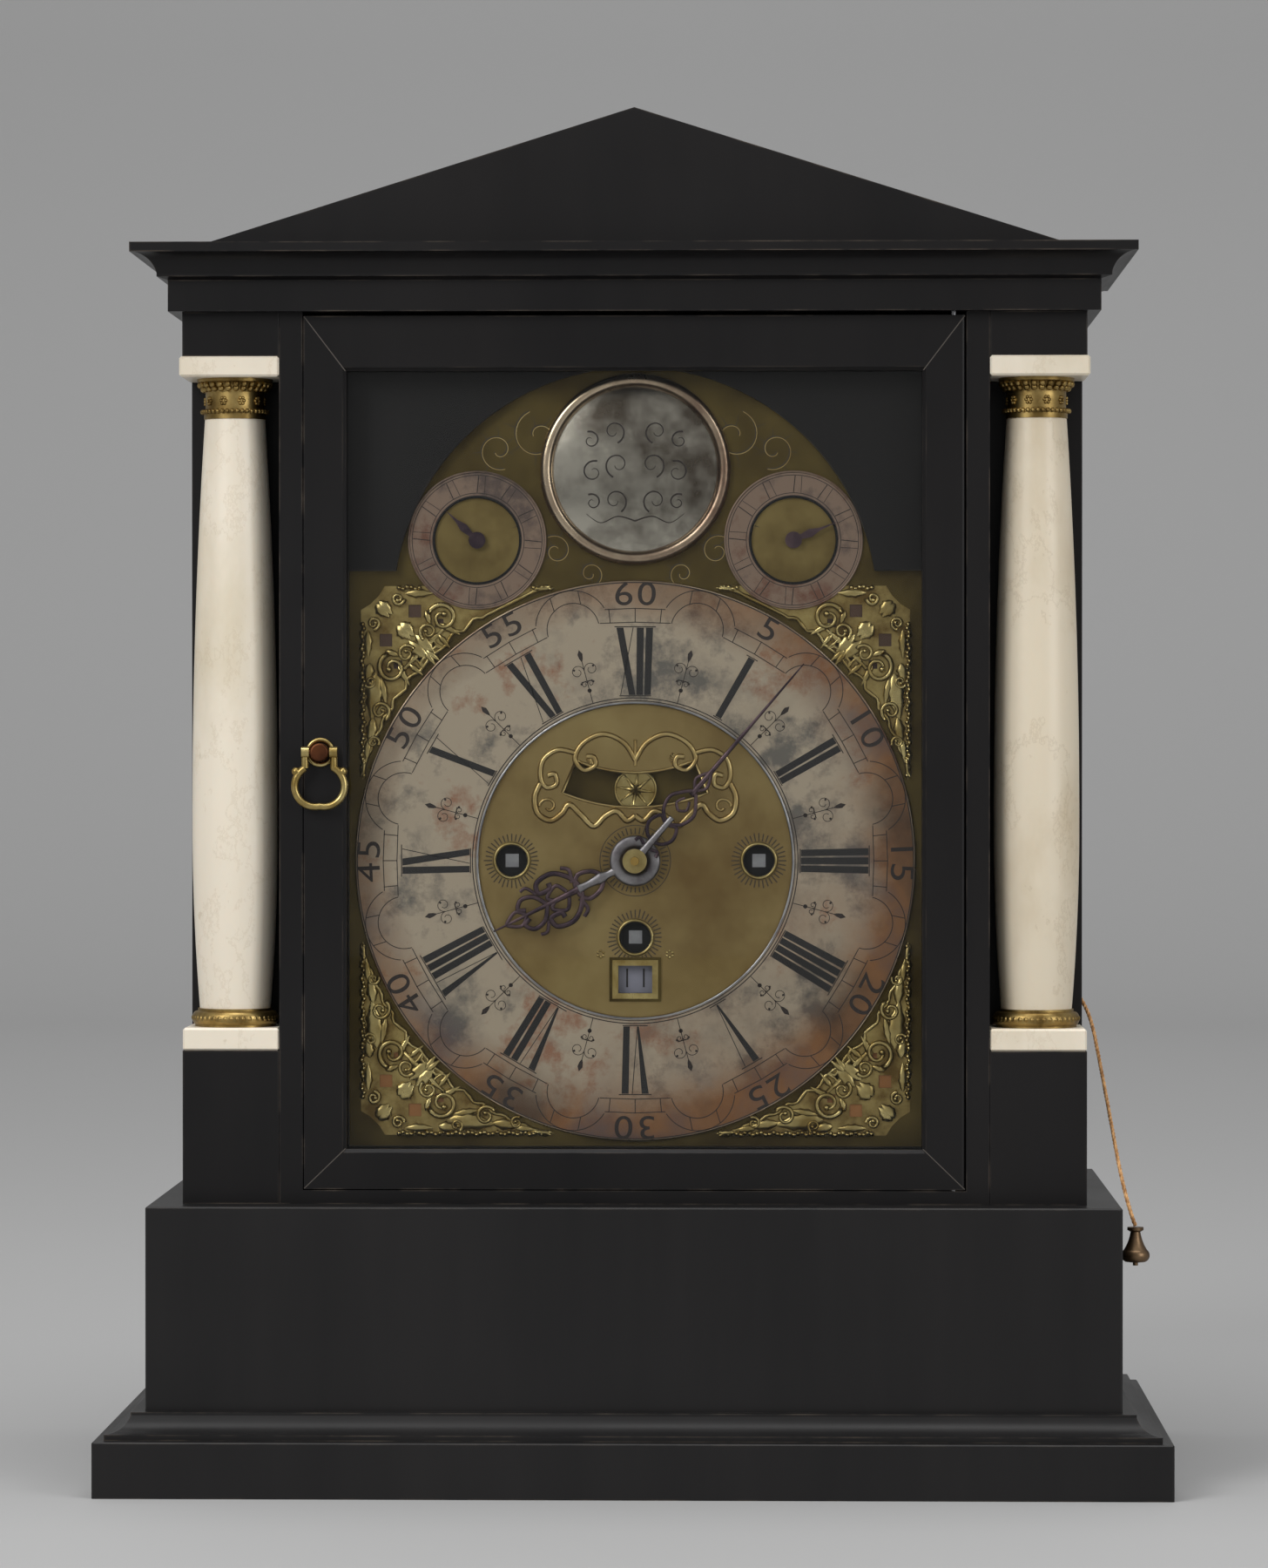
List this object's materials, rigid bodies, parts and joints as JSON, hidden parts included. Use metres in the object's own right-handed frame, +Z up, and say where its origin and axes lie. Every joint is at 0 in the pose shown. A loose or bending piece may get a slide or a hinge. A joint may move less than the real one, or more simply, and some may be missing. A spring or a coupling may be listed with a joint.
{
  "type": "bracket clock",
  "caption": "Ebonised temple-shaped bracket clock with free-standing stone columns, hinged glazed door, arched brass dial, subsidiary dials, hands, winding arbors, movement and repeat cord.",
  "frame": {"origin": "middle of the plinth's footprint, on the surface that the clock stands on", "axes": "+X to the viewer's right, +Y to the back (the dial faces -Y), +Z up"},
  "size_m": [0.368, 0.204, 0.4765],
  "materials": {
    "ebonised_wood": "satin, ebonised, worn at the edges",
    "plain_wood": "oiled",
    "alabaster_left": "polished, veined",
    "alabaster_right": "polished, veined",
    "alabaster_slabs": "polished",
    "gilt_bronze": "dark gilt",
    "glass": "clear",
    "copper_brown": "toned",
    "gilt_brass": "bright",
    "olive_brass": "matted",
    "silvered_brass": "silvered, tarnished",
    "blued_steel": "blued, worn",
    "steel": "polished",
    "movement_brass": "polished",
    "bell_bronze": "turned",
    "cord": "twisted",
    "pull_bronze": "toned"
  },
  "bodies": {
    "case": {"plinth": "ebonised_wood", "base_moulding": "ebonised_wood", "base_frame": "ebonised_wood", "pedestals": "ebonised_wood", "entablature_blocks": "ebonised_wood", "side_panel_left": "ebonised_wood", "side_panel_right": "ebonised_wood", "front_frame": "ebonised_wood", "case_top": "ebonised_wood", "frieze": "ebonised_wood", "cornice": "ebonised_wood", "pediment": "ebonised_wood", "back_frame": "ebonised_wood", "dial_mask": "ebonised_wood", "seat_board": "plain_wood", "column_shaft_left": "alabaster_left", "column_shaft_right": "alabaster_right", "column_mounts": "gilt_bronze", "column_slabs": "alabaster_slabs", "dial_plate": "olive_brass", "chapter_ring": "silvered_brass", "spandrels": "gilt_brass", "name_boss": "silvered_brass", "boss_bezel": "olive_brass", "subdial_rings": "silvered_brass", "front_plate": "movement_brass", "back_plate": "movement_brass", "movement_pillars": "movement_brass", "door_pivots": "steel", "bell": "bell_bronze", "strike_barrels": "movement_brass"},
    "front_door": {"door_frame": "ebonised_wood", "door_glass": "glass", "pull_stud": "copper_brown"},
    "drop_pull": {"door_pull": "gilt_brass"},
    "rear_door": {"back_door": "ebonised_wood", "back_door_glass": "glass"},
    "hour": {"hour_hand": "blued_steel", "hour_wheel": "movement_brass"},
    "minute": {"minute_hand": "blued_steel", "cannon_pinion": "movement_brass", "hand_collet": "gilt_brass"},
    "reverse_minute": {"minute_wheel": "movement_brass"},
    "strike_pointer": {"strike_hand": "blued_steel"},
    "repeat_pointer": {"repeat_hand": "blued_steel"},
    "date": {"date_disc": "silvered_brass"},
    "barrel": {"going_barrel": "movement_brass"},
    "centre": {"centre_wheel": "movement_brass"},
    "third": {"third_wheel": "movement_brass"},
    "fourth": {"fourth_wheel": "movement_brass"},
    "escape": {"escape_wheel": "movement_brass"},
    "pallets": {"pallet_arbor": "steel", "pendulum": "movement_brass", "mock_pendulum": "gilt_brass"},
    "bell_hammer": {"hammer": "steel"},
    "winder_left": {"winding_arbor_left": "steel"},
    "winder_right": {"winding_arbor_right": "steel"},
    "winder_lower": {"winding_arbor_lower": "steel"},
    "repeat_line": {"repeat_cord": "cord", "repeat_pull": "pull_bronze"}
  },
  "joints": [
    {"name": "front_door_hinge", "type": "hinge", "parent": "case", "child": "front_door", "pos_m": [0.11005, -0.068, 0.2538], "axis": [0, 0, 1], "range_deg": [0, 110]},
    {"name": "drop_pull_hinge", "type": "hinge", "parent": "front_door", "child": "drop_pull", "pos_m": [-0.10825, -0.07434, 0.2539], "axis": [-1, 0, 0], "range_deg": [0, 85]},
    {"name": "rear_door_hinge", "type": "hinge", "parent": "case", "child": "rear_door", "pos_m": [-0.096, 0.092, 0.2499], "axis": [0, 0, 1], "range_deg": [0, 110]},
    {"name": "minute_spin", "type": "hinge", "parent": "case", "child": "minute", "pos_m": [0, -0.045, 0.2162], "axis": [0, 1, 0], "continuous": true},
    {"name": "hour_spin", "type": "hinge", "parent": "case", "child": "hour", "pos_m": [0, -0.045, 0.2162], "axis": [0, 1, 0], "continuous": true},
    {"name": "reverse_minute_spin", "type": "hinge", "parent": "case", "child": "reverse_minute", "pos_m": [0.01697, -0.033, 0.23317], "axis": [0, 1, 0], "continuous": true},
    {"name": "strike_pointer_turn", "type": "hinge", "parent": "case", "child": "strike_pointer", "pos_m": [-0.055, -0.052, 0.3276], "axis": [0, 1, 0], "range_deg": [-85, 180]},
    {"name": "repeat_pointer_turn", "type": "hinge", "parent": "case", "child": "repeat_pointer", "pos_m": [0.055, -0.052, 0.3276], "axis": [0, 1, 0], "range_deg": [-200, 65]},
    {"name": "date_spin", "type": "hinge", "parent": "case", "child": "date", "pos_m": [0, -0.048, 0.1505], "axis": [0, 1, 0], "continuous": true},
    {"name": "escape_spin", "type": "hinge", "parent": "case", "child": "escape", "pos_m": [0, 0, 0.27625], "axis": [0, 1, 0], "continuous": true},
    {"name": "fourth_spin", "type": "hinge", "parent": "case", "child": "fourth", "pos_m": [0, 0, 0.2567], "axis": [0, 1, 0], "continuous": true},
    {"name": "third_spin", "type": "hinge", "parent": "case", "child": "third", "pos_m": [0, 0, 0.2378], "axis": [0, 1, 0], "continuous": true},
    {"name": "centre_spin", "type": "hinge", "parent": "case", "child": "centre", "pos_m": [0, 0, 0.2162], "axis": [0, 1, 0], "continuous": true},
    {"name": "barrel_spin", "type": "hinge", "parent": "case", "child": "barrel", "pos_m": [0, 0, 0.18953], "axis": [0, 1, 0], "continuous": true},
    {"name": "pendulum_swing", "type": "hinge", "parent": "case", "child": "pallets", "pos_m": [0, 0, 0.2997], "axis": [0, 1, 0], "range_deg": [-8, 8]},
    {"name": "hammer_swing", "type": "hinge", "parent": "case", "child": "bell_hammer", "pos_m": [-0.052, 0.035, 0.2332], "axis": [0, -1, 0], "range_deg": [0, 14]},
    {"name": "winder_left_spin", "type": "hinge", "parent": "case", "child": "winder_left", "pos_m": [-0.043, 0, 0.2162], "axis": [0, 1, 0], "continuous": true},
    {"name": "winder_right_spin", "type": "hinge", "parent": "case", "child": "winder_right", "pos_m": [0.043, 0, 0.2162], "axis": [0, 1, 0], "continuous": true},
    {"name": "winder_lower_spin", "type": "hinge", "parent": "case", "child": "winder_lower", "pos_m": [0, 0, 0.18953], "axis": [0, 1, 0], "continuous": true},
    {"name": "repeat_pull_slide", "type": "slide", "parent": "case", "child": "repeat_line", "axis": [0, 0, -1], "range_m": [0, 0.012], "stiffness_N_per_m": 20, "springref_m": -0.005, "deforming": ["repeat_cord"]}
  ],
  "couplings": [
    {"joint": "hour_spin", "follows": "minute_spin", "ratio": 0.083333},
    {"joint": "reverse_minute_spin", "follows": "minute_spin", "ratio": -0.66667},
    {"joint": "fourth_spin", "follows": "escape_spin", "ratio": -0.27778},
    {"joint": "third_spin", "follows": "escape_spin", "ratio": 0.046296},
    {"joint": "centre_spin", "follows": "escape_spin", "ratio": -0.005787},
    {"joint": "barrel_spin", "follows": "escape_spin", "ratio": 0.000643}
  ]
}
